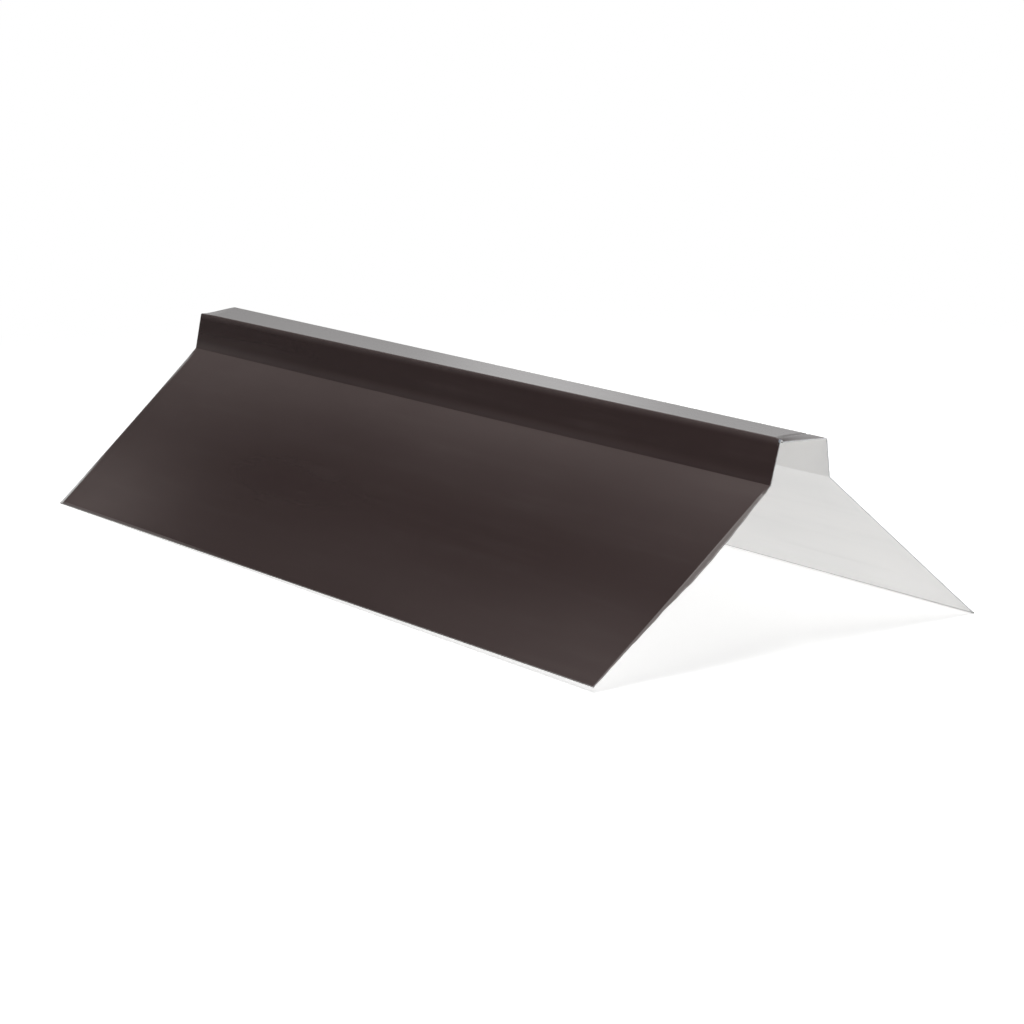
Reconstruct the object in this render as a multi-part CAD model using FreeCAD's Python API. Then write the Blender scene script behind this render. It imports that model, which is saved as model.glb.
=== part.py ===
"""Ridge flashing: one length of pre-painted steel sheet, folded four times.

The section is a hat with long sloping wings. A flat top bridges the ridge board, two
short risers drop from it, leaning outwards, and a wing runs down each roof slope from
the foot of each riser. All edges are plain sheared edges, and nothing is joined to it.

+X runs along the ridge, +Y across it, +Z up. The origin is midway along and across, on
the level floor that the two lower edges stand on. Sizes are in millimetres, and the
widths are taken along the middle of the sheet's thickness, from bend line to bend line.
"""

import FreeCAD, Part

import math
import os

from FreeCAD import Vector

# The piece as cut and folded
LENGTH = 675.0  # along the ridge, between the two sheared ends
SHEET_THICKNESS = 0.5  # galvanised steel with its paint
TOP_WIDTH = 32.0  # the flat top
RISER_WIDTH = 28.0  # one riser, measured up its face
WING_WIDTH = 164.0  # one wing, measured down its slope
RISER_ANGLE = 75.0  # degrees from level, so each riser leans out at its foot
WING_ANGLE = 39.5  # degrees from level, the slope of the roof below
BEND_RADIUS = 1.5  # on the inside of every fold


def downhill(angle):
    """Unit vector across the ridge and down, at this many degrees below level."""
    return Vector(0, math.cos(math.radians(angle)), -math.sin(math.radians(angle)))


def mirrored(point):
    """The same point on the other side of the ridge."""
    return Vector(point.x, -point.y, point.z)


def bend_lines():
    """Corners of the sheet's middle line, from the -Y lower edge to the +Y one."""
    top_corner = Vector(0, TOP_WIDTH / 2, 0)
    shoulder = top_corner + downhill(RISER_ANGLE) * RISER_WIDTH
    lower_edge = shoulder + downhill(WING_ANGLE) * WING_WIDTH
    half = [top_corner, shoulder, lower_edge]
    corners = [mirrored(point) for point in reversed(half)] + half
    # The under side of each sheared edge is the lowest line, and it meets the floor.
    floor = lower_edge.z - SHEET_THICKNESS / 2 * math.cos(math.radians(WING_ANGLE))
    return [corner - Vector(0, 0, floor) for corner in corners]


def upward_normal(start, end):
    """Unit vector square to a run of the middle line, on its upper, painted side."""
    run = (end - start).normalize()
    return Vector(0, -run.z, run.y)


def fold(before, corner, after):
    """Centre, start, middle and end directions of the fold at one corner, with the
    distances from its centre to the upper and the under face."""
    into = (corner - before).normalize()
    out_of = (after - corner).normalize()
    turn = into.getAngle(out_of)
    hollow_above = into.cross(out_of).x > 0
    middle_radius = BEND_RADIUS + SHEET_THICKNESS / 2
    setback = middle_radius * math.tan(turn / 2)
    side = 1 if hollow_above else -1
    towards_centre = upward_normal(before, corner) * side
    centre = corner - into * setback + towards_centre * middle_radius
    start = towards_centre * -1
    end = upward_normal(corner, after) * -side
    middle = (start + end).normalize()
    upper = middle_radius - side * SHEET_THICKNESS / 2
    under = middle_radius + side * SHEET_THICKNESS / 2
    return centre, (start, middle, end), upper, under


def face_line(corners, folds, side):
    """Edges of one face of the sheet: straight runs joined by the folds' arcs.
    side is 1 for the upper face and -1 for the under face."""
    offset = SHEET_THICKNESS / 2 * side
    edges = []
    reached = corners[0] + upward_normal(corners[0], corners[1]) * offset
    for centre, directions, upper, under in folds:
        radius = upper if side > 0 else under
        start, middle, end = [centre + direction * radius for direction in directions]
        edges.append(Part.LineSegment(reached, start).toShape())
        edges.append(Part.Arc(start, middle, end).toShape())
        reached = end
    last = corners[-1] + upward_normal(corners[-2], corners[-1]) * offset
    edges.append(Part.LineSegment(reached, last).toShape())
    return edges


def sheared_edge(tip, neighbour_normal):
    """The short edge across the sheet's thickness at one lower edge."""
    half = neighbour_normal * (SHEET_THICKNESS / 2)
    return Part.LineSegment(tip + half, tip - half).toShape()


def section():
    """The closed outline of the folded sheet, in the plane across the ridge."""
    corners = bend_lines()
    folds = [fold(*corners[i - 1 : i + 2]) for i in range(1, len(corners) - 1)]
    edges = face_line(corners, folds, 1) + face_line(corners, folds, -1)
    edges.append(sheared_edge(corners[0], upward_normal(corners[0], corners[1])))
    edges.append(sheared_edge(corners[-1], upward_normal(corners[-2], corners[-1])))
    return Part.Wire(Part.__sortEdges__(edges))


def ridge_flashing():
    """The folded sheet as one solid, centred along the ridge."""
    outline = section()
    outline.translate(Vector(-LENGTH / 2, 0, 0))
    return Part.Face(outline).extrude(Vector(LENGTH, 0, 0))


def main():
    os.makedirs("parts", exist_ok=True)
    body = ridge_flashing()
    developed = TOP_WIDTH + 2 * (RISER_WIDTH + WING_WIDTH)
    box = body.BoundBox
    print(f"valid {body.isValid()}, {len(body.Solids)} solid, {body.Volume / 1000:.1f} cm3")
    print(f"length {box.XLength:.2f}, width {box.YLength:.2f}, height {box.ZLength:.2f}")
    print(f"lowest {box.ZMin:.4f}, strip before folding about {developed:.0f} wide")
    body.exportStep("parts/ridge_flashing.step")


main()
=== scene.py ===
# %% [markdown]
# Ridge flashing
#
# A ridge flashing closes the gap where two roof slopes meet. This one is a single strip of
# brown pre-painted steel, folded four times: a flat top, two short risers that lean out,
# and two long wings that lie on the slopes. The under side keeps its pale grey back coat.
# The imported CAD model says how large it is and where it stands. This lesson dresses it:
# one thin sheet with rounded folds, knocked corners and sheared edges, and three finishes.

import math

import bmesh
import bpy
import numpy as np
from mathutils import Matrix, Vector, noise


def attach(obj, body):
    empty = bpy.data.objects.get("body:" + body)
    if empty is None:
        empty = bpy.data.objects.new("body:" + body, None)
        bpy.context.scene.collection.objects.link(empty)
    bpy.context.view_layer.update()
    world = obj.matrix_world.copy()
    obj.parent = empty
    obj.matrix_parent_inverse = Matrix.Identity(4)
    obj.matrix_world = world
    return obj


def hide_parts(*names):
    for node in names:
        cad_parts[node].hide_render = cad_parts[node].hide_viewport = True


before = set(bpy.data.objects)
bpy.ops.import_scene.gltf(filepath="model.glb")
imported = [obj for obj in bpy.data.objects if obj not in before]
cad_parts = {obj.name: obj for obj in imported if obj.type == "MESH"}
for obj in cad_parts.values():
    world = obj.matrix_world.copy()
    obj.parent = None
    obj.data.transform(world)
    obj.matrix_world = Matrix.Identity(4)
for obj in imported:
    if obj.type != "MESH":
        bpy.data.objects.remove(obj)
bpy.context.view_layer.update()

# %% [markdown]
# The sizes of the sheet
#
# Every size is the same named value as in the part's source, in millimetres, because a
# sheet-metal worker reads them that way. The mesh is turned into metres at the very end.
# The widths are measured along the middle of the sheet, from bend line to bend line.

# %% Sizes in millimetres
LENGTH = 675.0
SHEET_THICKNESS = 0.5
TOP_WIDTH = 32.0
RISER_WIDTH = 28.0
WING_WIDTH = 164.0
RISER_ANGLE = 75.0
WING_ANGLE = 39.5
STRIP_WIDTH = TOP_WIDTH + 2 * (RISER_WIDTH + WING_WIDTH)
METRES = 0.001

NEAR_END = LENGTH / 2
FAR_END = -LENGTH / 2
print("strip before folding", STRIP_WIDTH, "wide and", LENGTH, "long, in mm")

# %% [markdown]
# The section, and how it drifts along the length
#
# A hand folder never makes a perfect prism: one end of the blade closes a little more than
# the other. So the six corners of the section are worked out as in the CAD model, and each
# may be pulled a few millimetres at either end. The pulls are blended along the length.
# A modifier could bend the finished mesh instead, but then the folds would lose their
# radius. Moving the bend lines before rounding them keeps every fold crisp.

# %% Corners of the middle line
def downhill(angle):
    """Unit step across the ridge and down, as (y, z)."""
    return np.array([math.cos(math.radians(angle)), -math.sin(math.radians(angle))])


def even_corners():
    """The six corners of the middle line, from the front lower edge to the back one."""
    top = np.array([TOP_WIDTH / 2, 0.0])
    shoulder = top + downhill(RISER_ANGLE) * RISER_WIDTH
    lower = shoulder + downhill(WING_ANGLE) * WING_WIDTH
    half = [top, shoulder, lower]
    floor = lower[1] - SHEET_THICKNESS / 2 * math.cos(math.radians(WING_ANGLE))
    corners = [corner * (-1, 1) for corner in reversed(half)] + half
    return np.array([corner - (0, floor) for corner in corners])


FRONT_LOWER, FRONT_SHOULDER, FRONT_TOP, BACK_TOP, BACK_SHOULDER, BACK_LOWER = range(6)

# How far the folder pulled each corner, as (y, z), at the near end and at the far end.
NEAR_PULL = {
    FRONT_LOWER: (0.0, 3.2),
    FRONT_SHOULDER: (1.0, 0.0),
    FRONT_TOP: (1.7, 0.0),
    BACK_TOP: (5.0, -3.9),
    BACK_SHOULDER: (-0.1, -0.7),
    BACK_LOWER: (-4.7, 0.15),
}
FAR_PULL = {
    FRONT_LOWER: (5.7, 0.15),
    FRONT_SHOULDER: (-0.2, -0.5),
    FRONT_TOP: (-1.7, -1.6),
    BACK_TOP: (-3.7, 0.0),
    BACK_LOWER: (0.0, 0.9),
}


def corners_at(x):
    """The six corners at a distance x along the ridge."""
    towards_near = (x - FAR_END) / LENGTH
    corners = even_corners()
    for corner, pull in NEAR_PULL.items():
        corners[corner] += np.array(pull) * towards_near
    for corner, pull in FAR_PULL.items():
        corners[corner] += np.array(pull) * (1 - towards_near)
    return corners


print("near corners", np.round(corners_at(NEAR_END), 1).tolist())

# %% [markdown]
# Rounding the folds
#
# Each fold is an arc around the folder's blade. The photograph shows them sharper than the
# 1.5 mm of the CAD sheet, most of all at the shoulders. The runs between the folds are
# split evenly, with one very short step beside each fold. Without that step the smooth
# shading of the fold would spread over the flat metal next to it. A Bevel modifier could
# round the folds too, but here each fold gets its own radius and number of steps.

# %% Arc of one fold
FOLD_STEPS = 8
TOP_FOLD_RADIUS = 1.3
SHOULDER_FOLD_RADIUS = 0.8
FOLD_RADII = [SHOULDER_FOLD_RADIUS, TOP_FOLD_RADIUS, TOP_FOLD_RADIUS, SHOULDER_FOLD_RADIUS]


def fold_arc(before, corner, after, inside_radius):
    """Points of the arc that replaces a sharp corner of the middle line."""
    into = (corner - before) / np.linalg.norm(corner - before)
    out_of = (after - corner) / np.linalg.norm(after - corner)
    cross = into[0] * out_of[1] - into[1] * out_of[0]
    turn = math.acos(np.clip(into @ out_of, -1, 1))
    side = math.copysign(1, cross)
    radius = inside_radius + SHEET_THICKNESS / 2
    start = corner - into * radius * math.tan(turn / 2)
    centre = start + np.array([-into[1], into[0]]) * side * radius
    points = []
    for step in range(FOLD_STEPS + 1):
        angle = side * turn * step / FOLD_STEPS
        arm = start - centre
        turned = (
            arm[0] * math.cos(angle) - arm[1] * math.sin(angle),
            arm[0] * math.sin(angle) + arm[1] * math.cos(angle),
        )
        points.append(centre + turned)
    return points


print("inside radii of the folds", FOLD_RADII, "mm")

# %% Points of one section
BESIDE_FOLD = 0.3
RUN_STEPS = {"wing": 42, "riser": 12, "top": 26}
RUNS = ["wing", "riser", "top", "riser", "wing"]


def run_points(start, end, steps, fold_before, fold_after):
    """Points inside a flat run, with a short first or last step beside a fold."""
    length = np.linalg.norm(end - start)
    first = BESIDE_FOLD / length if fold_before else 0.0
    last = 1 - BESIDE_FOLD / length if fold_after else 1.0
    shares = [first + (last - first) * step / steps for step in range(steps + 1)]
    if not fold_before:
        shares[0] = 0.0
    return [start + (end - start) * share for share in shares]


def section_of(corners):
    """All points of the middle line through these corners, as an array of (y, z)."""
    arcs = [fold_arc(*corners[i : i + 3], radius) for i, radius in enumerate(FOLD_RADII)]
    points = []
    for number, run in enumerate(RUNS):
        first, last = number == 0, number == len(arcs)
        start = corners[0] if first else arcs[number - 1][-1]
        end = corners[-1] if last else arcs[number][0]
        points += run_points(start, end, RUN_STEPS[run], not first, not last)
        if not last:
            points += arcs[number]
    return np.array(points)


even_section = section_of(even_corners())
steps_across = np.linalg.norm(np.diff(even_section, axis=0), axis=1)
ROUND_IT = steps_across.sum()
ACROSS = (np.concatenate([[0.0], np.cumsum(steps_across)]) / ROUND_IT - 0.5) * STRIP_WIDTH
print(len(ACROSS), "points in a section,", round(float(ROUND_IT), 1), "mm round it")

# %% [markdown]
# Rows along the length
#
# The rows are close together near both ends, where the corners are creased, and far apart
# in the quiet middle. The last few millimetres at each end form a lip: the shear that cut
# the strip dragged its edge down a little, more in some places than in others. Close rows
# all along would do no harm, but they would only repeat the same straight lines.

# %% Rows, from the far end to the near end
FINE_ZONE = 42.0
FINE_STEP = 1.2
COARSE_STEP = 7.0
NEAR_LIP = 2.4
FAR_LIP = 1.6
LIP_ROWS = 12


def body_rows():
    """Distances along the ridge of the rows between the two lips."""
    low, high = FAR_END + FAR_LIP, NEAR_END - NEAR_LIP
    fine = round(FINE_ZONE / FINE_STEP)
    coarse = round((high - low - 2 * FINE_ZONE) / COARSE_STEP)
    far = np.linspace(low, low + FINE_ZONE, fine, endpoint=False)
    middle = np.linspace(low + FINE_ZONE, high - FINE_ZONE, coarse, endpoint=False)
    near = np.linspace(high - FINE_ZONE, high, fine + 1)
    return np.concatenate([far, middle, near])


ROWS = body_rows()
print(len(ROWS), "rows between the lips")

# %% [markdown]
# Slack and creases in the metal
#
# Thin sheet is never quite flat. The wings are slightly slack between their stiff edges,
# which bends their reflections. Both ends of the flat top were knocked: at the near end a
# curved crease runs from the front corner to the back fold, and the flap beyond it dips.
# At the far end the cut edge dips between the folds, beyond a slanting crease. Each is a
# small height added square to the sheet, as a smooth function of the place on the flat
# strip. Sculpting would do it too, but a function is exact, repeatable and easy to change.

# %% Slack of the wings
def smooth(low, high, value):
    """0 below low, 1 above high, and a soft step between."""
    share = np.clip((value - low) / (high - low), 0, 1)
    return share * share * (3 - 2 * share)


SHOULDER_ACROSS = TOP_WIDTH / 2 + RISER_WIDTH
WING_SAG = 0.35
WING_WAVE = 0.18


def wing_slack(x, across):
    """A shallow sag and a few slow waves on the wings, in mm."""
    down_slope = np.clip((np.abs(across) - SHOULDER_ACROSS) / WING_WIDTH, 0, 1)
    inside = np.sin(math.pi * down_slope)
    wave = np.sin(x * 0.021 + across * 0.013) + 0.6 * np.sin(x * 0.009 - across * 0.024 + 1.7)
    return inside * (-WING_SAG + WING_WAVE * wave)


print("a wing sags by about", WING_SAG, "mm and waves by", WING_WAVE, "mm")

# %% Creased near end of the top
NEAR_CREASE_BACK = 14.0
NEAR_CREASE_CURVE = 0.85
NEAR_CREASE_DEPTH = 0.48
NEAR_CREASE_WIDTH = 1.0
NEAR_FLAP_DROP = 2.1
SHORTEST_FLAP = 0.6
TOP_FADE_START = TOP_WIDTH / 2 - 1.0
TOP_FADE_END = TOP_WIDTH / 2 + 2.0


def near_crease(x, across):
    """A curved valley from the front corner to the back fold, and a flap that dips."""
    over = np.clip((across + TOP_WIDTH / 2) / TOP_WIDTH, 0, 1)
    flap_length = NEAR_CREASE_BACK * np.sin(over * math.pi / 2) ** NEAR_CREASE_CURVE
    beyond = x - (NEAR_END - NEAR_LIP - flap_length)
    past_front_fold = smooth(-TOP_FADE_END, -TOP_FADE_START, across)
    before_back_fold = 1 - smooth(TOP_FADE_START, TOP_FADE_END, across)
    valley = -NEAR_CREASE_DEPTH * np.exp(-((beyond / NEAR_CREASE_WIDTH) ** 2))
    flap = np.clip(beyond / np.clip(flap_length, SHORTEST_FLAP, None), 0, 1)
    height = valley - NEAR_FLAP_DROP * (1 - over) * flap
    return past_front_fold * before_back_fold * height


print("the crease starts", NEAR_CREASE_BACK, "mm from the end, on the back fold")

# %% Dipped far end of the top
FAR_CREASE_FRONT = 20.0
FAR_DIP = 1.5
FAR_DIP_BREADTH = 0.6
FAR_DIP_ONSET = 1.3


def far_dip(x, across):
    """The cut edge of the far end dips between the two folds, beyond a slanting crease."""
    over = np.clip((across + TOP_WIDTH / 2) / TOP_WIDTH, 0, 1)
    crease_x = FAR_END + FAR_CREASE_FRONT * (1 - over)
    beyond = np.clip((crease_x - x) / FAR_CREASE_FRONT, 0, None)
    return -FAR_DIP * np.sin(math.pi * over) ** FAR_DIP_BREADTH * beyond**FAR_DIP_ONSET


def added_height(x, across):
    return wing_slack(x, across) + near_crease(x, across) + far_dip(x, across)


print("the far end dips by up to", FAR_DIP, "mm")

# %% [markdown]
# The middle surface
#
# Each row is one section of the sheet at its own place along the ridge, and every point of
# it moves square to the surface by its added height. The near end wasn't cut square: the
# wings get a few millimetres shorter towards their lower edges. All rows share in that a
# little, which keeps the faces whole where a cutting plane would slice through them.

# %% The middle surface between the lips
def square_to(surface):
    """Unit normals of a grid of points, on the painted side."""
    along = np.gradient(surface, axis=0)
    over = np.gradient(surface, axis=1)
    normals = np.cross(along, over)
    return normals / np.linalg.norm(normals, axis=2, keepdims=True)


FRONT_TRIM = 3.8
BACK_TRIM = 2.8


def cut_back(across):
    """How much shorter the sheet is than its full length, as its near end isn't square."""
    front = np.clip((-across - SHOULDER_ACROSS) / WING_WIDTH, 0, 1) * FRONT_TRIM
    back = np.clip((across - SHOULDER_ACROSS) / WING_WIDTH, 0, 1) * BACK_TRIM
    return front + back


def middle_surface():
    """Grid of points, one line of points for each row."""
    grid = []
    for x in ROWS:
        section = section_of(corners_at(x))
        grid.append(np.column_stack([np.full(len(section), x), section]))
    grid = np.array(grid)
    x = grid[:, :, 0].copy()
    across = np.broadcast_to(ACROSS, x.shape)
    grid[:, :, 0] -= (x - FAR_END) / LENGTH * cut_back(across)
    return grid + square_to(grid) * added_height(x, across)[:, :, None]


surface = middle_surface()
print("middle surface", surface.shape)

# %% [markdown]
# The dragged lips
#
# On the front wing of the near end the lip is bent down by about 50 degrees over most of
# its height, and its paint is made paler as painted reflection, so it shows as a thin
# lighter sliver. Its outline is slightly bumpy. The far end has the same bend on both wings,
# far fainter. Each lip is grown row by row from the edge of the surface: a short step along
# the ridge turns gradually into a step into the sheet's under side. Bending the end of a
# finished mesh would squeeze it where it is thickest.

# %% Bend of each lip
NEAR_LIP_BEND = 50.0
NEAR_LIP_LOW = 0.5 - STRIP_WIDTH / 2
NEAR_LIP_HIGH = -1.0 - SHOULDER_ACROSS
FAR_LIP_BEND = 10.0


def bump(value, low, high, power=1.0):
    """0 outside low and high, rising to 1 between them."""
    share = np.clip((value - low) / (high - low), 0, 1)
    return np.sin(math.pi * share) ** power


def near_lip_bend(across):
    """Degrees that the near lip is bent down, across the strip."""
    return NEAR_LIP_BEND * bump(across, NEAR_LIP_LOW, NEAR_LIP_HIGH, 0.4)


def far_lip_bend(across):
    """Degrees that the far lip is bent down, on both wings."""
    on_wings = smooth(SHOULDER_ACROSS, SHOULDER_ACROSS + 8, np.abs(across))
    clear_of_tips = 1 - smooth(190.0, 207.0, np.abs(across))
    return FAR_LIP_BEND * on_wings * clear_of_tips


print("bent by up to", NEAR_LIP_BEND, "degrees near and", FAR_LIP_BEND, "degrees far")

# %% Width of the near lip
WIDEST_PLACE = 0.36
WIDE_REACH = 0.2
WIDER_BY = 1.7
NARROWER_BY = 1.3


def uneven(across, per_mm, seed):
    """Smooth random values across the strip, the same in every run."""
    return np.array([noise.noise(Vector((place * per_mm, seed, 0.0))) for place in across])


def near_lip_width(across):
    """Width of the near lip in mm, with the small bumps of the shear's blade."""
    down_wing = np.clip((-across - SHOULDER_ACROSS) / WING_WIDTH, 0, 1)
    wide = np.exp(-(((down_wing - WIDEST_PLACE) / WIDE_REACH) ** 2))
    narrow = smooth(0.45, 0.9, down_wing)
    bumps = 0.5 * uneven(across, 0.08, 3.1) + 0.25 * uneven(across, 0.3, 7.7)
    ripple = bumps * smooth(0.02, 0.2, down_wing)
    return NEAR_LIP + WIDER_BY * wide - NARROWER_BY * narrow + ripple


near_width = near_lip_width(ACROSS)
print("near lip", round(near_width.min(), 1), "to", round(near_width.max(), 1), "mm wide")

# %% Grow a lip from each end
# A lip is a touch shorter than its width, so its bent corner stays inside the CAD box.
LIP_REACH = 0.97


def grow_lip(edge, normals, direction, width, bend):
    """Rows of a lip, from the surface's edge outwards."""
    rows = []
    point = edge.copy()
    for row in range(1, LIP_ROWS + 1):
        share = row / LIP_ROWS
        angle = np.radians(bend) * smooth(0.0, 0.35, share)
        step = LIP_REACH * width / LIP_ROWS
        outwards = np.array([direction, 0.0, 0.0])
        point = point + outwards * (step * np.cos(angle))[:, None]
        point = point - normals * (step * np.sin(angle))[:, None]
        rows.append(point.copy())
    return np.array(rows)


edge_normals = square_to(surface)
near_rows = grow_lip(surface[-1], edge_normals[-1], 1.0, near_width, near_lip_bend(ACROSS))
far_width = np.full(len(ACROSS), FAR_LIP)
far_rows = grow_lip(surface[0], edge_normals[0], -1.0, far_width, far_lip_bend(ACROSS))
surface = np.concatenate([far_rows[::-1], surface, near_rows])
reach = [surface[:, :, 0].min(), surface[:, :, 0].max()]
print("rows with lips", len(surface), "reaching from", np.round(reach, 2).tolist())

# %% [markdown]
# One solid sheet
#
# The painted face and the under face are the middle surface moved by half a thickness to
# either side, and a narrow strip of faces closes each cut edge. A Solidify modifier would
# do nearly the same. Building it by hand gives every face its finish straight away, and
# keeps the flat strip's own coordinates, which the finishes are drawn in: paint is rolled
# on before folding, so its marks run on over every bend.

# %% Points of both sides
PAINT, BACK_COAT, CUT_EDGE = range(3)
normals = square_to(surface)
painted_face = surface + normals * SHEET_THICKNESS / 2
under_face = surface - normals * SHEET_THICKNESS / 2
row_count, point_count = surface.shape[:2]

sheet_mesh = bpy.data.meshes.new("flashing_sheet")
bm = bmesh.new()
flat = bm.loops.layers.uv.new("flat_strip")


def add_points(points):
    return [[bm.verts.new(Vector(point) * METRES) for point in row] for row in points]


upper = add_points(painted_face)
lower = add_points(under_face)
print(row_count, "rows of", point_count, "points on each side")

# %% Faces of both sides
far_lip_places = np.linspace(FAR_END, FAR_END + FAR_LIP, LIP_ROWS, endpoint=False)
near_lip_places = np.linspace(NEAR_END, NEAR_END - NEAR_LIP, LIP_ROWS, endpoint=False)
ALONG = np.concatenate([far_lip_places, ROWS, near_lip_places[::-1]])


def add_quad(corners, places, finish):
    """A face with its finish and its place on the flat strip."""
    face = bm.faces.new(corners)
    face.material_index = finish
    face.smooth = finish != CUT_EDGE
    for loop, (row, point) in zip(face.loops, places):
        loop[flat].uv = (ALONG[row] * METRES, ACROSS[point] * METRES)


for row in range(row_count - 1):
    for point in range(point_count - 1):
        places = [(row, point), (row + 1, point), (row + 1, point + 1), (row, point + 1)]
        add_quad([upper[r][p] for r, p in places], places, PAINT)
        places = places[::-1]
        add_quad([lower[r][p] for r, p in places], places, BACK_COAT)
print(len(bm.faces), "faces on both sides")

# %% Faces of the cut edges
def close_edge(places):
    """Faces across the thickness, along one cut edge."""
    for first, second in zip(places, places[1:]):
        corners = [upper[second[0]][second[1]], upper[first[0]][first[1]]]
        corners += [lower[first[0]][first[1]], lower[second[0]][second[1]]]
        add_quad(corners, [second, first, first, second], CUT_EDGE)


last_row, last_point = row_count - 1, point_count - 1
close_edge([(0, point) for point in reversed(range(point_count))])
close_edge([(last_row, point) for point in range(point_count)])
close_edge([(row, 0) for row in range(row_count)])
close_edge([(row, last_point) for row in reversed(range(row_count))])
print(len(bm.faces), "faces with the cut edges")

# %% Make the object
for edge in bm.edges:
    edge.smooth = len({face.material_index for face in edge.link_faces}) == 1
bmesh.ops.recalc_face_normals(bm, faces=bm.faces)
bm.to_mesh(sheet_mesh)
bm.free()

sheet = bpy.data.objects.new("flashing_sheet", sheet_mesh)
bpy.context.scene.collection.objects.link(sheet)
print(len(sheet_mesh.vertices), "vertices and", len(sheet_mesh.polygons), "faces")

# %% [markdown]
# Helpers for materials
#
# The finishes share a few effects. Each effect is a node group: a small machine with named
# inputs and outputs that is built once and placed in several materials. Pictures could
# carry the same marks, but nodes stay sharp at any distance and need no files. These
# helpers add a node, set its inputs, and start a group.

# %% Node helpers
def add_node(tree, kind, inputs=None, **settings):
    """A node with its settings made and its inputs set or linked."""
    made = tree.nodes.new(kind)
    for name, value in settings.items():
        setattr(made, name, value)
    for socket, source in (inputs or {}).items():
        if isinstance(source, bpy.types.NodeSocket):
            tree.links.new(source, made.inputs[socket])
        else:
            made.inputs[socket].default_value = source
    return made


def add_socket(group, label, in_out, kind="NodeSocketFloat"):
    return group.interface.new_socket(name=label, in_out=in_out, socket_type=kind)


def start_group(name, values, outputs, places=("Place",)):
    """An empty group with its sockets, its input node and its output node."""
    group = bpy.data.node_groups.new(name, "ShaderNodeTree")
    for label in places:
        add_socket(group, label, "INPUT", "NodeSocketVector")
    for label, value in values.items():
        add_socket(group, label, "INPUT").default_value = value
    for label in outputs:
        add_socket(group, label, "OUTPUT")
    return group, group.nodes.new("NodeGroupInput"), group.nodes.new("NodeGroupOutput")


def place_group(tree, group, inputs):
    return add_node(tree, "ShaderNodeGroup", inputs, node_tree=group)


def put_out(group, result, values):
    """Link values to the group's outputs, by name."""
    for name, value in values.items():
        group.links.new(value, result.inputs[name])


print("node groups before the first effect:", len(bpy.data.node_groups))

# %% Arithmetic in nodes
def calculate(tree, operation, first, second=0.0):
    """One arithmetic step."""
    made = add_node(tree, "ShaderNodeMath", {0: first, 1: second}, operation=operation)
    return made.outputs[0]


def multiply(tree, first, *others):
    """The product of some values."""
    for other in others:
        first = calculate(tree, "MULTIPLY", first, other)
    return first


def add_up(tree, first, *others):
    """The sum of some values."""
    for other in others:
        first = calculate(tree, "ADD", first, other)
    return first


def even_step(tree, value, low, high, start=0.0, end=1.0, kind="LINEAR"):
    """A value that goes from start to end while another goes from low to high."""
    step = add_node(
        tree,
        "ShaderNodeMapRange",
        {"Value": value, "From Min": low, "From Max": high, "To Min": start, "To Max": end},
        interpolation_type=kind,
    )
    return step.outputs[0]


def soft_step(tree, value, low, high, start=0.0, end=1.0):
    """The same with a soft start and a soft end."""
    return even_step(tree, value, low, high, start, end, kind="SMOOTHSTEP")


print("two kinds of step, even and soft")

# %% Places and noise in nodes
def scale_place(tree, place, scale, turn=0.0):
    """The place stretched along each axis, and turned on the flat strip."""
    inputs = {"Vector": place, "Rotation": (0, 0, turn), "Scale": scale}
    return add_node(tree, "ShaderNodeMapping", inputs).outputs[0]


def noise_value(tree, place, scale, detail, roughness=0.5):
    """Smooth random values, this many to the metre."""
    inputs = {"Vector": place, "Scale": scale, "Detail": detail, "Roughness": roughness}
    return add_node(tree, "ShaderNodeTexNoise", inputs).outputs[0]


def strip_place(tree, place):
    """Metres along the flat strip from its middle, and across it to either side."""
    apart = add_node(tree, "ShaderNodeSeparateXYZ", {0: place})
    return apart.outputs[0], calculate(tree, "ABSOLUTE", apart.outputs[1])


FAR_AT = FAR_END * METRES
NEAR_AT = NEAR_END * METRES
TOP_FOLD_AT = TOP_WIDTH / 2 * METRES
SHOULDER_AT = SHOULDER_ACROSS * METRES
EDGE_AT = STRIP_WIDTH / 2 * METRES
print("folds at", TOP_FOLD_AT, "and", SHOULDER_AT, "and lower edge at", EDGE_AT, "m across")

# %% [markdown]
# Slow unevenness of the coating
#
# A rolled coating is a touch thicker in some places, which shows as very soft clouds. The
# clouds are longer along the coil than across it, so the place is squeezed before it goes
# into the noise. The group puts out a value between 0 and 1.

# %% Coating clouds
CLOUD_STRETCH = (0.35, 1, 1)


def build_clouds():
    group, given, result = start_group("coating_clouds", {"Clouds per metre": 12.0}, ["Cloud"])
    place = scale_place(group, given.outputs["Place"], CLOUD_STRETCH)
    clouds = noise_value(group, place, given.outputs["Clouds per metre"], 3.0)
    put_out(group, result, {"Cloud": even_step(group, clouds, 0.3, 0.7)})
    return group


CLOUDS = build_clouds()
print("built", CLOUDS.name)

# %% [markdown]
# Surface of the coating
#
# Close up, coil paint has a fine orange peel, and faint lines that the roller drew along
# the coil. Both are only a few hundredths of a millimetre high. The group puts out a
# height, which each material turns into bump at its own strength.

# %% Coating surface
ROLLER_LINES = (3, 240, 1)
LINE_SHARE = 0.6


def build_coating_surface():
    group, given, result = start_group("coating_surface", {"Grain per metre": 700.0}, ["Height"])
    peel = noise_value(group, given.outputs["Place"], given.outputs["Grain per metre"], 2.0)
    lines = noise_value(group, scale_place(group, given.outputs["Place"], ROLLER_LINES), 1.0, 2.0)
    height = add_up(group, multiply(group, lines, LINE_SHARE), peel)
    put_out(group, result, {"Height": height})
    return group


COATING_SURFACE = build_coating_surface()
print("built", COATING_SURFACE.name)

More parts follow.
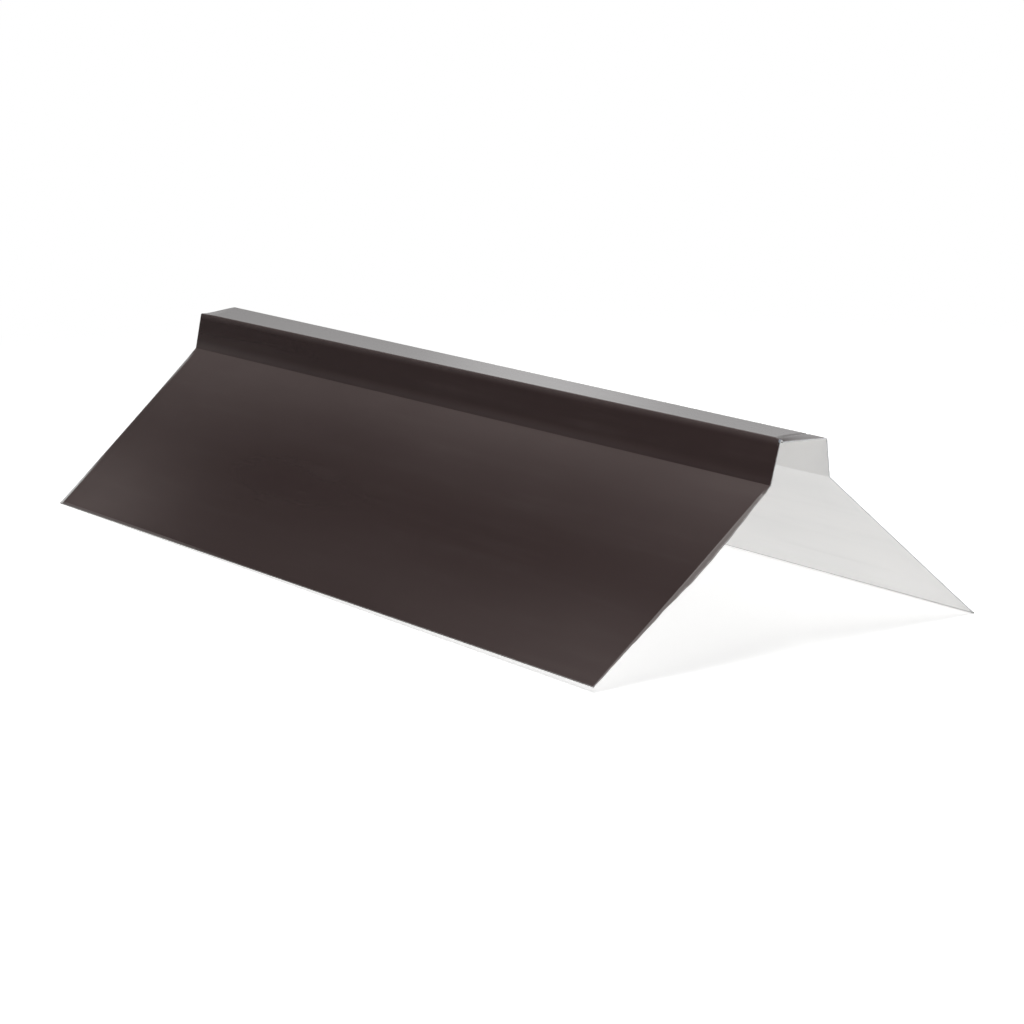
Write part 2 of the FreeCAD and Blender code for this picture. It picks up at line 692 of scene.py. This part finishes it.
# %% [markdown]
# Dust and handling
#
# Sheets slide over each other in a stack, so fine dust and rubbing lie in long thin
# patches at a slant. One noise alone would give spots or stripes all over, so the group
# multiplies a broad patchy one with a narrow streaky one, and puts out a mask.

# %% Dust and rubbing
STREAKS = (6, 95, 1)
STREAK_SLANT = math.radians(24)
PATCHES_PER_METRE = 9.0


def build_rubbing():
    group, given, result = start_group("dust_and_rubbing", {"Amount": 0.5}, ["Mask"])
    slanted = scale_place(group, given.outputs["Place"], STREAKS, STREAK_SLANT)
    streaks = even_step(group, noise_value(group, slanted, 1.0, 4.0), 0.48, 0.72)
    patches = noise_value(group, given.outputs["Place"], PATCHES_PER_METRE, 5.0, 0.6)
    broad = even_step(group, patches, 0.4, 0.7)
    put_out(group, result, {"Mask": multiply(group, streaks, broad, given.outputs["Amount"])})
    return group


RUBBING = build_rubbing()
print("built", RUBBING.name)

# %% [markdown]
# Painted light on the wings and risers
#
# The paint is made paler where more light falls on it or is mirrored by it: painted light,
# which leaves a darker middle. On a wing it is strongest under the shoulder, at the outer
# corners and at the far end. On a riser it lies along the head, as a painted highlight, and
# along the foot. One mask could be painted by hand, but worked out from the place on the strip
# it follows the folds exactly, on all four faces. All distances are in metres.

# %% Painted light on a wing
# Parts of the way down the wing: the ends of the painted light under the shoulder, and the
# start of it at the corners. Then the strengths, and places along the strip in metres.
BROAD_END, CLOSE_END, LOW_START = 0.62, 0.25, 0.4
BROAD_LIGHT, CLOSE_LIGHT = 0.95, 0.45
END_FROM, FAR_CORNER_FROM, FAR_SIDE_FROM, NEAR_SIDE_FROM = 0.05, -0.15, -0.10, 0.20
FAR_CORNER_LIGHT, NEAR_SIDE_LIGHT = 0.6, 0.15


def painted_light_on_wing(tree, along, across, cloud):
    """Painted light under the shoulder, at the outer corners and at both ends."""
    slope = EDGE_AT - SHOULDER_AT
    broad_end, close_end = SHOULDER_AT + BROAD_END * slope, SHOULDER_AT + CLOSE_END * slope
    broad = soft_step(tree, across, SHOULDER_AT, broad_end, BROAD_LIGHT, 0.0)
    close = soft_step(tree, across, SHOULDER_AT, close_end, CLOSE_LIGHT, 0.0)
    low = soft_step(tree, across, SHOULDER_AT + LOW_START * slope, EDGE_AT)
    end = calculate(tree, "ABSOLUTE", along)
    at_both_ends = soft_step(tree, end, END_FROM, NEAR_AT, 0.5, 1.0)
    at_far_end = soft_step(tree, along, FAR_CORNER_FROM, FAR_AT, 0.0, FAR_CORNER_LIGHT)
    corner = multiply(tree, low, add_up(tree, at_both_ends, at_far_end))
    far_side = soft_step(tree, along, FAR_SIDE_FROM, FAR_AT, 0.1, 0.9)
    near_side = soft_step(tree, along, NEAR_SIDE_FROM, NEAR_AT, 0.0, NEAR_SIDE_LIGHT)
    patchy = soft_step(tree, cloud, 0.0, 1.0, 0.85, 1.1)
    return multiply(tree, add_up(tree, broad, close, corner, far_side, near_side), patchy)


print("on a wing the haze reaches", BROAD_END, "of the way down")

# %% Painted light on a riser
# A painted highlight along each riser's head, and painted light at its foot.
HEAD_ABOVE = 0.0014
HEAD_BELOW = 0.0045
FOOT_ABOVE = 0.0085
FAR_FOOT_ABOVE = 0.017
FOOT_FULL = 0.002
FOOT_STRENGTH = 0.6
HEAD_STRENGTH = 1.7


def painted_light_on_riser(tree, along, across):
    """Painted light at the foot, wider at the far end, and a painted highlight along the head."""
    full = SHOULDER_AT - FOOT_FULL
    foot = soft_step(tree, across, SHOULDER_AT - FOOT_ABOVE, full, 0.0, FOOT_STRENGTH)
    fading = soft_step(tree, along, 0.12, 0.31, 1.0, 0.3)
    far_foot = soft_step(tree, across, SHOULDER_AT - FAR_FOOT_ABOVE, full, 0.0, FOOT_STRENGTH)
    far_part = soft_step(tree, along, -0.16, FAR_AT)
    start, end = TOP_FOLD_AT - HEAD_ABOVE, TOP_FOLD_AT + HEAD_BELOW
    head = soft_step(tree, across, start, end, HEAD_STRENGTH, 0.0)
    off_top = calculate(tree, "GREATER_THAN", across, start)
    foot = add_up(tree, multiply(tree, foot, fading), multiply(tree, far_foot, far_part))
    return add_up(tree, foot, multiply(tree, head, off_top))


print("on a riser it covers the", FOOT_ABOVE, "m above the shoulder")

# %% Painted light
WING_AT = SHOULDER_AT - 0.0002


def build_painted_light():
    group, given, result = start_group("painted_light_mask", {"Amount": 0.2}, ["Mask"])
    along, across = strip_place(group, given.outputs["Place"])
    cloud = place_group(group, CLOUDS, {"Place": given.outputs["Place"]}).outputs["Cloud"]
    on_wing = calculate(group, "GREATER_THAN", across, WING_AT)
    off_wing = calculate(group, "SUBTRACT", 1.0, on_wing)
    wing = multiply(group, painted_light_on_wing(group, along, across, cloud), on_wing)
    riser = multiply(group, painted_light_on_riser(group, along, across), off_wing)
    mask = multiply(group, add_up(group, wing, riser), given.outputs["Amount"])
    put_out(group, result, {"Mask": mask})
    return group


PAINTED_LIGHT_GROUP = build_painted_light()
print("built", PAINTED_LIGHT_GROUP.name)

# %% [markdown]
# Wear at the cut edges
#
# Along a sheared edge the coating is broken and the zinc shows. The place on the flat
# strip gives the distance to the nearest cut edge directly, so no painted mask is needed.
# Noise makes the border ragged.

# %% Cut edge wear
TEETH_PER_METRE = 420.0
WEAR_FADE = 1.6


def build_edge_wear():
    group, given, result = start_group("cut_edge_wear", {"Reach": 0.001}, ["Mask"])
    along, across = strip_place(group, given.outputs["Place"])
    from_end = calculate(group, "SUBTRACT", NEAR_AT, calculate(group, "ABSOLUTE", along))
    from_edge = calculate(group, "SUBTRACT", EDGE_AT, across)
    distance = calculate(group, "MINIMUM", from_end, from_edge)
    ragged = noise_value(group, given.outputs["Place"], TEETH_PER_METRE, 3.0)
    reach = multiply(group, ragged, given.outputs["Reach"])
    gone = multiply(group, reach, WEAR_FADE)
    put_out(group, result, {"Mask": even_step(group, distance, reach, gone, 1.0, 0.0)})
    return group


EDGE_WEAR = build_edge_wear()
print("built", EDGE_WEAR.name)

# %% [markdown]
# Painted reflection, rubbing and painted shade at the borders
#
# Where the shear dragged the near end of a wing down, the paint is made pale: painted
# reflection of the bent lip. The far part of the lower edge is rubbed and pale with the same
# colour. A nearly white border along the cut at the far end, high on the wing and near its
# lower corner, is painted reflection as well. The very edge that stands on the ground is
# darker: painted shade where it meets the floor. Each of them begins at a known place
# on the flat strip, so one group works out the four masks, each with a crisp border.

# %% Borders of the strip
LIP_SHARPNESS = 0.0005
# The lower edge's last millimetre: painted shade where the sheet meets the floor.
CONTACT_SHADE_BAND = (0.0014, 0.0009)
RUBBED_EDGE = (0.0024, 0.0017)
RUBBED_PART = (-0.06, -0.20)
FAR_BORDER = (0.0036, 0.0028)
HIGH_BORDER = (0.060, 0.092)
LOW_BORDER = (0.150, 0.195)


def build_lip_and_border_masks():
    outputs = ["Lip", "Low edge", "Far edge", "Far reflection"]
    group, given, result = start_group("lip_sheen_and_borders", {}, outputs)
    along, across = strip_place(group, given.outputs["Place"])
    end = calculate(group, "ABSOLUTE", along)
    lip_at = (NEAR_END - NEAR_LIP) * METRES
    # The near lip, painted paler as painted reflection.
    on_lip = soft_step(group, end, lip_at, lip_at + LIP_SHARPNESS)
    on_wing = soft_step(group, across, SHOULDER_AT + 0.002, SHOULDER_AT + 0.012)
    # Painted shade along the edge that stands on the floor.
    contact_shade = soft_step(group, across, *[EDGE_AT - inwards for inwards in CONTACT_SHADE_BAND])
    rubbed = soft_step(group, across, *[EDGE_AT - inwards for inwards in RUBBED_EDGE])
    far_part = soft_step(group, along, *RUBBED_PART)
    # The far border, painted nearly white as painted reflection.
    by_far_end = soft_step(group, along, *[FAR_AT + inwards for inwards in FAR_BORDER])
    high = multiply(group, soft_step(group, across, *HIGH_BORDER, 0.4, 0.0), on_wing)
    low = soft_step(group, across, *LOW_BORDER)
    masks = {
        "Lip": multiply(group, on_lip, on_wing),
        "Low edge": contact_shade,
        "Far edge": multiply(group, rubbed, far_part),
        "Far reflection": multiply(group, add_up(group, high, low), by_far_end),
    }
    put_out(group, result, masks)
    return group


LIP_AND_BORDER_MASKS = build_lip_and_border_masks()
print("built", LIP_AND_BORDER_MASKS.name)

# %% [markdown]
# Spots
#
# The knocked front corner of the top has a chip of bare metal. Below it a small spot of
# painted shading stands in for a dent, which the mesh doesn't have. Both are round spots at
# a place on the flat strip, with a ragged border. The bent metal round the chip is in the mesh.

# %% Spot
SPOT_BORDER = (1.3, 1.7)


def build_spot():
    places = ["Place", "Centre"]
    group, given, result = start_group("spot", {"Radius": 0.001}, ["Mask"], places)
    place = given.outputs["Place"]
    ends = {0: place, 1: given.outputs["Centre"]}
    away = add_node(group, "ShaderNodeVectorMath", ends, operation="DISTANCE").outputs["Value"]
    share = calculate(group, "DIVIDE", away, given.outputs["Radius"])
    share = add_up(group, share, noise_value(group, place, 1500.0, 2.0))
    put_out(group, result, {"Mask": soft_step(group, share, *SPOT_BORDER, 1.0, 0.0)})
    return group


SPOT = build_spot()
print("built", SPOT.name)

# %% [markdown]
# Starting a material
#
# All three finishes start alike: a Principled shader, and the place on the flat strip,
# which comes from the mesh's own map. That place rides with the metal, so the marks stay
# where they are however the sheet is turned. They also share the zinc under the coats.

# %% Material helpers
def start_material(name):
    """A material with its shader and its place on the flat strip."""
    material = bpy.data.materials.new(name)
    material.use_nodes = True
    tree = material.node_tree
    shader = tree.nodes["Principled BSDF"]
    place = add_node(tree, "ShaderNodeUVMap", uv_map="flat_strip").outputs[0]
    return material, tree, shader, place


def mix_colour(tree, share, first, second):
    """A colour between two others."""
    mix = add_node(tree, "ShaderNodeMix", data_type="RGBA")
    for socket, source in ((0, share), (6, first), (7, second)):
        if isinstance(source, bpy.types.NodeSocket):
            tree.links.new(source, mix.inputs[socket])
        else:
            mix.inputs[socket].default_value = source
    return mix.outputs[2]


def between(tree, share, low, high):
    """A value that goes from low to high as share goes from 0 to 1."""
    return even_step(tree, share, 0.0, 1.0, low, high)


BUMP_DISTANCE = 0.0001


def add_bump(tree, shader, place, grain, strength):
    """The coating's height as bump."""
    inputs = {"Place": place, "Grain per metre": grain}
    height = place_group(tree, COATING_SURFACE, inputs).outputs["Height"]
    inputs = {"Height": height, "Strength": strength, "Distance": BUMP_DISTANCE}
    bump_node = add_node(tree, "ShaderNodeBump", inputs)
    tree.links.new(bump_node.outputs[0], shader.inputs["Normal"])


def add_spot(tree, place, centre, radius):
    """The mask of one spot."""
    inputs = {"Place": place, "Centre": centre, "Radius": radius}
    return place_group(tree, SPOT, inputs).outputs["Mask"]


ZINC = (0.50, 0.51, 0.52, 1)
print("zinc under every coat", ZINC)

# %% [markdown]
# The brown paint
#
# Roofing paint is a semi-gloss: nearly black brown by itself, but it turns pale where it
# is seen at a grazing angle, because it mirrors what is behind it. That needs no trick,
# only a plain Principled shader with a moderate roughness. The clouds and the rubbing change
# its colour a little. Painted light makes it paler under the shoulders, at the corners and
# along the risers. The bent near lip is painted paler as painted reflection; it and the rubbed
# part of the lower edge are paler and duller. The border at the far cut is painted nearly
# white, as painted reflection, and the worn edges show primer. The knocked corner has its
# chip, and a spot of painted shading where a dent would be.

# %% Brown paint
BROWN = (0.0365, 0.0236, 0.0230, 1)
BROWN_THIN = (0.0385, 0.0250, 0.0244, 1)
DUST = (0.17, 0.15, 0.14, 1)
# Paler colour of the painted light on wings and risers.
PAINTED_LIGHT_GREY = (0.217, 0.179, 0.172, 1)
PRIMER = (0.24, 0.23, 0.22, 1)
# Painted reflection on the bent near lip; the rubbed far part of the lower edge shares it.
LIP_SHEEN_AND_RUB = (0.105, 0.088, 0.084, 1)
# Painted reflection of the pale room along the far cut.
FAR_PAINTED_REFLECTION = (0.62, 0.62, 0.61, 1)
BARE = (0.28, 0.30, 0.34, 1)
# Painted shading of a small dent; the mesh has no dent there.
DENT_SHADING = (0.060, 0.052, 0.052, 1)
CHIP_PLACE = (0.3368, -0.0170, 0)
CHIP_RADIUS = 0.0011
DENT_PLACE = (0.3360, -0.0192, 0)
DENT_RADIUS = 0.0007
GLOSSY, RUBBED_DULL, SHEEN_AND_RUB_DULL = 0.22, 0.55, 0.6


def make_brown_paint():
    material, tree, shader, place = start_material("brown_paint")
    cloud = place_group(tree, CLOUDS, {"Place": place, "Clouds per metre": 14.0}).outputs[0]
    rubbed = place_group(tree, RUBBING, {"Place": place, "Amount": 0.06}).outputs[0]
    # Painted light: paler under the shoulders, at the corners and along the risers.
    painted_light = place_group(tree, PAINTED_LIGHT_GROUP, {"Place": place, "Amount": 0.17}).outputs[0]
    worn = place_group(tree, EDGE_WEAR, {"Place": place, "Reach": 0.0007}).outputs[0]
    border_masks = place_group(tree, LIP_AND_BORDER_MASKS, {"Place": place})
    sheen_and_rub = calculate(tree, "MAXIMUM", border_masks.outputs["Lip"], border_masks.outputs["Far edge"])
    colour = mix_colour(tree, cloud, BROWN, BROWN_THIN)
    colour = mix_colour(tree, rubbed, colour, DUST)
    colour = mix_colour(tree, painted_light, colour, PAINTED_LIGHT_GREY)
    # Painted reflection on the near lip, and the rubbed far part of the lower edge.
    colour = mix_colour(tree, sheen_and_rub, colour, LIP_SHEEN_AND_RUB)
    # Painted reflection along the far cut.
    colour = mix_colour(tree, border_masks.outputs["Far reflection"], colour, FAR_PAINTED_REFLECTION)
    colour = mix_colour(tree, worn, colour, PRIMER)
    # Painted shading where a dent would be.
    dent_shading = add_spot(tree, place, DENT_PLACE, DENT_RADIUS)
    colour = mix_colour(tree, dent_shading, colour, DENT_SHADING)
    chip = add_spot(tree, place, CHIP_PLACE, CHIP_RADIUS)
    colour = mix_colour(tree, chip, colour, BARE)
    tree.links.new(colour, shader.inputs["Base Color"])
    roughness = between(tree, rubbed, GLOSSY, RUBBED_DULL)
    dull = multiply(tree, sheen_and_rub, SHEEN_AND_RUB_DULL)
    tree.links.new(calculate(tree, "MAXIMUM", roughness, dull), shader.inputs["Roughness"])
    add_bump(tree, shader, place, 650.0, 0.12)
    return material


brown_paint = make_brown_paint()
print("made", brown_paint.name)

# %% [markdown]
# The back coat
#
# The under side has one thin coat of pale grey: duller than the paint, with a little of
# the zinc's cloudiness coming through. It is darker along the edge that it stands on: painted
# shade where it meets the floor. The same groups draw it, placed with values of its own.

# %% Back coat
GREY_COAT = (0.81, 0.803, 0.792, 1)
GREY_THIN = (0.785, 0.782, 0.775, 1)
# Grime for the rubbing, and painted shade along the edge that stands on the floor.
GRIME_AND_CONTACT_SHADE = (0.38, 0.37, 0.35, 1)


def make_back_coat():
    material, tree, shader, place = start_material("grey_back_coat")
    cloud = place_group(tree, CLOUDS, {"Place": place, "Clouds per metre": 22.0}).outputs[0]
    rubbed = place_group(tree, RUBBING, {"Place": place, "Amount": 0.10}).outputs[0]
    worn = place_group(tree, EDGE_WEAR, {"Place": place, "Reach": 0.0005}).outputs[0]
    colour = mix_colour(tree, cloud, GREY_COAT, GREY_THIN)
    colour = mix_colour(tree, rubbed, colour, GRIME_AND_CONTACT_SHADE)
    # Painted shade along the edge that stands on the floor.
    low_edge = place_group(tree, LIP_AND_BORDER_MASKS, {"Place": place}).outputs["Low edge"]
    colour = mix_colour(tree, low_edge, colour, GRIME_AND_CONTACT_SHADE)
    colour = mix_colour(tree, worn, colour, ZINC)
    tree.links.new(colour, shader.inputs["Base Color"])
    tree.links.new(between(tree, cloud, 0.42, 0.52), shader.inputs["Roughness"])
    add_bump(tree, shader, place, 900.0, 0.10)
    return material


back_coat = make_back_coat()
print("made", back_coat.name)

# %% [markdown]
# The cut edge
#
# A sheared edge is half bright cut and half torn, with drag lines across it and a smear
# of zinc from both faces. Oxide dulls it soon, so it is only a little metallic here.

# %% Cut edge
ZINC_TORN = (0.42, 0.42, 0.43, 1)
ZINC_CUT = (0.62, 0.63, 0.65, 1)
EDGE_OXIDE = (0.20, 0.17, 0.15, 1)
# Painted shade on the cut edge where it meets the floor.
EDGE_CONTACT_SHADE = (0.10, 0.088, 0.083, 1)


def make_cut_edge():
    material, tree, shader, place = start_material("zinc_cut_edge")
    rubbed = place_group(tree, RUBBING, {"Place": place, "Amount": 0.9}).outputs[0]
    cloud = place_group(tree, CLOUDS, {"Place": place, "Clouds per metre": 160.0}).outputs[0]
    colour = mix_colour(tree, cloud, ZINC_TORN, ZINC_CUT)
    colour = mix_colour(tree, rubbed, colour, EDGE_OXIDE)
    # Painted shade on the cut edge where it meets the floor.
    low_edge = place_group(tree, LIP_AND_BORDER_MASKS, {"Place": place}).outputs["Low edge"]
    colour = mix_colour(tree, low_edge, colour, EDGE_CONTACT_SHADE)
    tree.links.new(colour, shader.inputs["Base Color"])
    tree.links.new(between(tree, cloud, 0.5, 0.7), shader.inputs["Roughness"])
    shader.inputs["Metallic"].default_value = 0.2
    add_bump(tree, shader, place, 2400.0, 0.5)
    return material


cut_edge = make_cut_edge()
print("made", cut_edge.name)

# %% [markdown]
# Dress the CAD node
#
# The faces already know their finish by number, so the materials go into the mesh in that
# order. Then the plain CAD sheet is hidden; it stays behind for collisions. The new sheet
# rides on the only body.

# %% Put the finishes on the sheet
for material in (brown_paint, back_coat, cut_edge):
    sheet_mesh.materials.append(material)
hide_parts("ridge_flashing")
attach(sheet, "root")

# %% [markdown]
# The floor
#
# The floor is matt, a little under white, and takes the sheet's soft shadow. A plain level
# of light leaves it pale grey, so its material adds light of its own, but Light Path gives
# that only to rays from the camera, from mirrors and through glass: nothing is lit by it.
# Further off than the shadow reaches, the camera sees plain white, as in the photograph.
# Only a view from lower than about 10 degrees also takes in the room past the floor's
# edge, a shade greyer. Brighter lamps would bleach the object instead.

# %% Floor
FLOOR_SIZE = 60.0
FLOOR_WHITE = (0.90, 0.90, 0.90, 1)
FLOOR_LIFT = 0.52
SHADOW_REACH = (0.55, 1.1)


def mirrored_or_refracted(tree, path):
    """1 for a ray from a glossy surface or through a clear one."""
    glossy, clear = path.outputs["Is Glossy Ray"], path.outputs["Is Transmission Ray"]
    return calculate(tree, "MAXIMUM", glossy, clear)


def white_floor():
    """Matt white with its lift, and plain white beyond the shadow's reach."""
    material = bpy.data.materials.new("white_floor")
    material.use_nodes = True
    tree = material.node_tree
    tree.nodes.clear()
    path = add_node(tree, "ShaderNodeLightPath")
    by_camera = path.outputs["Is Camera Ray"]
    matt = add_node(tree, "ShaderNodeBsdfDiffuse", {"Color": FLOOR_WHITE})
    seen = calculate(tree, "MAXIMUM", by_camera, mirrored_or_refracted(tree, path))
    lift = add_node(tree, "ShaderNodeEmission", {"Strength": multiply(tree, seen, FLOOR_LIFT)})
    lit = add_node(tree, "ShaderNodeAddShader", {0: matt.outputs[0], 1: lift.outputs[0]})
    place = add_node(tree, "ShaderNodeTexCoord").outputs["Object"]
    away = add_node(tree, "ShaderNodeVectorMath", {0: place}, operation="LENGTH")
    far = soft_step(tree, away.outputs["Value"], *SHADOW_REACH)
    white = add_node(tree, "ShaderNodeEmission", {"Strength": 1.0})
    parts = {0: multiply(tree, by_camera, far), 1: lit.outputs[0], 2: white.outputs[0]}
    both = add_node(tree, "ShaderNodeMixShader", parts)
    output = add_node(tree, "ShaderNodeOutputMaterial")
    tree.links.new(both.outputs[0], output.inputs["Surface"])
    return material


bpy.ops.mesh.primitive_plane_add(size=FLOOR_SIZE, location=(0, 0, 0))
floor = bpy.context.object
floor.name = "studio_floor"
floor.data.materials.append(white_floor())
print("floor", FLOOR_SIZE, "m wide")

# %% [markdown]
# The room
#
# Semi-gloss paint shows what stands round it, so the room is part of the finish. Its walls
# are pale, apart from a dim part low on the far left, in the direction that the front
# riser mirrors. That keeps the riser dark while the flat top, which mirrors the wall
# behind, goes pale. A slim brighter panel in that wall makes the palest stretch of the
# top. For the light that falls on matt surfaces the room counts only a little, as the
# lamps give most of it. The camera itself sees an even pale grey, without the dim part.

# %% Room
DARK_SIDE = Vector((-0.83, -0.35, 0.40)).normalized()
DARK_EDGE = 0.62
DARK_HEART = 0.90
DARKEST = 0.03
ROOM_LEVEL = 0.15
PANEL_AZIMUTH = math.radians(143.5)
PANEL_SOFTNESS = math.radians(2.8)
PANEL_LIGHT = 0.40


def direction_match(tree, direction, towards):
    """1 where a direction points straight towards another, less beside it."""
    inputs = {0: direction, 1: towards}
    made = add_node(tree, "ShaderNodeVectorMath", inputs, operation="DOT_PRODUCT")
    return made.outputs["Value"]


def wall_light(tree, direction):
    """Pale walls with the dim part and the bright panel."""
    nearness = direction_match(tree, direction, DARK_SIDE)
    walls = soft_step(tree, nearness, DARK_EDGE, DARK_HEART, 1.0, DARKEST)
    inputs = {0: direction, 1: (1, 1, 0)}
    level = add_node(tree, "ShaderNodeVectorMath", inputs, operation="MULTIPLY").outputs[0]
    level = add_node(tree, "ShaderNodeVectorMath", {0: level}, operation="NORMALIZE").outputs[0]
    panel_way = (math.cos(PANEL_AZIMUTH), math.sin(PANEL_AZIMUTH), 0)
    facing = direction_match(tree, level, panel_way)
    panel = soft_step(tree, facing, math.cos(PANEL_SOFTNESS), 1.0, 0.0, PANEL_LIGHT)
    return add_up(tree, walls, panel)


def make_room():
    world = bpy.data.worlds.new("white_room")
    bpy.context.scene.world = world
    world.use_nodes = True
    tree = world.node_tree
    tree.nodes.clear()
    direction = add_node(tree, "ShaderNodeTexCoord").outputs["Generated"]
    path = add_node(tree, "ShaderNodeLightPath")
    share = between(tree, mirrored_or_refracted(tree, path), ROOM_LEVEL, 1.0)
    lit = multiply(tree, wall_light(tree, direction), share)
    seen = calculate(tree, "MAXIMUM", lit, path.outputs["Is Camera Ray"])
    background = add_node(tree, "ShaderNodeBackground", {"Strength": seen})
    output = add_node(tree, "ShaderNodeOutputWorld")
    tree.links.new(background.outputs[0], output.inputs["Surface"])
    return world


print("made", make_room().name)

# %% [markdown]
# The lamps
#
# A large soft lamp above gives the plain light. Two low ones stand off the near end and
# reach under the sheet, one from afar and one close to the opening. The last is weak, lies
# on the floor and faces up, as large as the sheet's own footprint: it stands in for what a
# bright table throws up on the pale under side. One lamp alone would leave that side
# grey. The camera sees none of them.

# %% Lamps
AIM = Vector((0, 0, 0.05))
FACING_UP = (math.pi, 0, 0)


def add_soft_lamp(name, place, size, watts):
    """A soft lamp, as wide and as deep as size says, that faces the object."""
    light = bpy.data.lights.new(name, "AREA")
    light.shape = "RECTANGLE"
    light.size, light.size_y = size
    light.energy = watts
    lamp = bpy.data.objects.new(name, light)
    bpy.context.scene.collection.objects.link(lamp)
    lamp.location = place
    lamp.rotation_euler = (AIM - Vector(place)).to_track_quat("-Z", "Y").to_euler()
    return lamp


add_soft_lamp("top_lamp", (0.2, -0.3, 2.7), (1.2, 1.2), 58)
add_soft_lamp("low_lamp", (2.6, -1.0, 0.10), (0.8, 0.8), 28)
add_soft_lamp("opening_lamp", (1.2, -0.35, 0.05), (0.5, 0.5), 3.0)
table_lamp = add_soft_lamp("table_lamp", (0, 0, 0.0006), (0.665, 0.293), 0.195)
table_lamp.rotation_euler = FACING_UP
print("four soft lamps: one above, two low ones that reach under the sheet, one on the floor")

# %% [markdown]
# The camera
#
# The camera stands where the corners of the sheet line up with the photograph: to the
# front and right of the near end, 12 degrees above level, with a long lens. Its place was
# worked out from the corners, so that the perspective of the long edges agrees too. It
# could be aimed at the sheet by a constraint, but it is tilted by a degree, so its three
# axes are set directly.

# %% Camera
AZIMUTH = 54.874
ELEVATION = 12.247
ROLL = -1.063
CAMERA_PLACE = (1.7091, -1.1729, 0.4790)
LENS = 109.38


def add_camera():
    azimuth, elevation, roll = [math.radians(a) for a in (AZIMUTH, ELEVATION, ROLL)]
    back = Vector(
        (
            math.sin(azimuth) * math.cos(elevation),
            -math.cos(azimuth) * math.cos(elevation),
            math.sin(elevation),
        )
    )
    level_right = Vector((math.cos(azimuth), math.sin(azimuth), 0))
    level_up = back.cross(level_right)
    right = level_right * math.cos(roll) + level_up * math.sin(roll)
    up = back.cross(right)
    camera_data = bpy.data.cameras.new("camera")
    camera_data.lens = LENS
    camera_data.sensor_width = 36.0
    camera = bpy.data.objects.new("camera", camera_data)
    bpy.context.scene.collection.objects.link(camera)
    turn = Matrix((right, up, back)).transposed().to_4x4()
    camera.matrix_world = Matrix.Translation(CAMERA_PLACE) @ turn
    bpy.context.scene.camera = camera
    return camera


add_camera()
bpy.context.scene.view_settings.view_transform = "Standard"
print("camera at", CAMERA_PLACE)
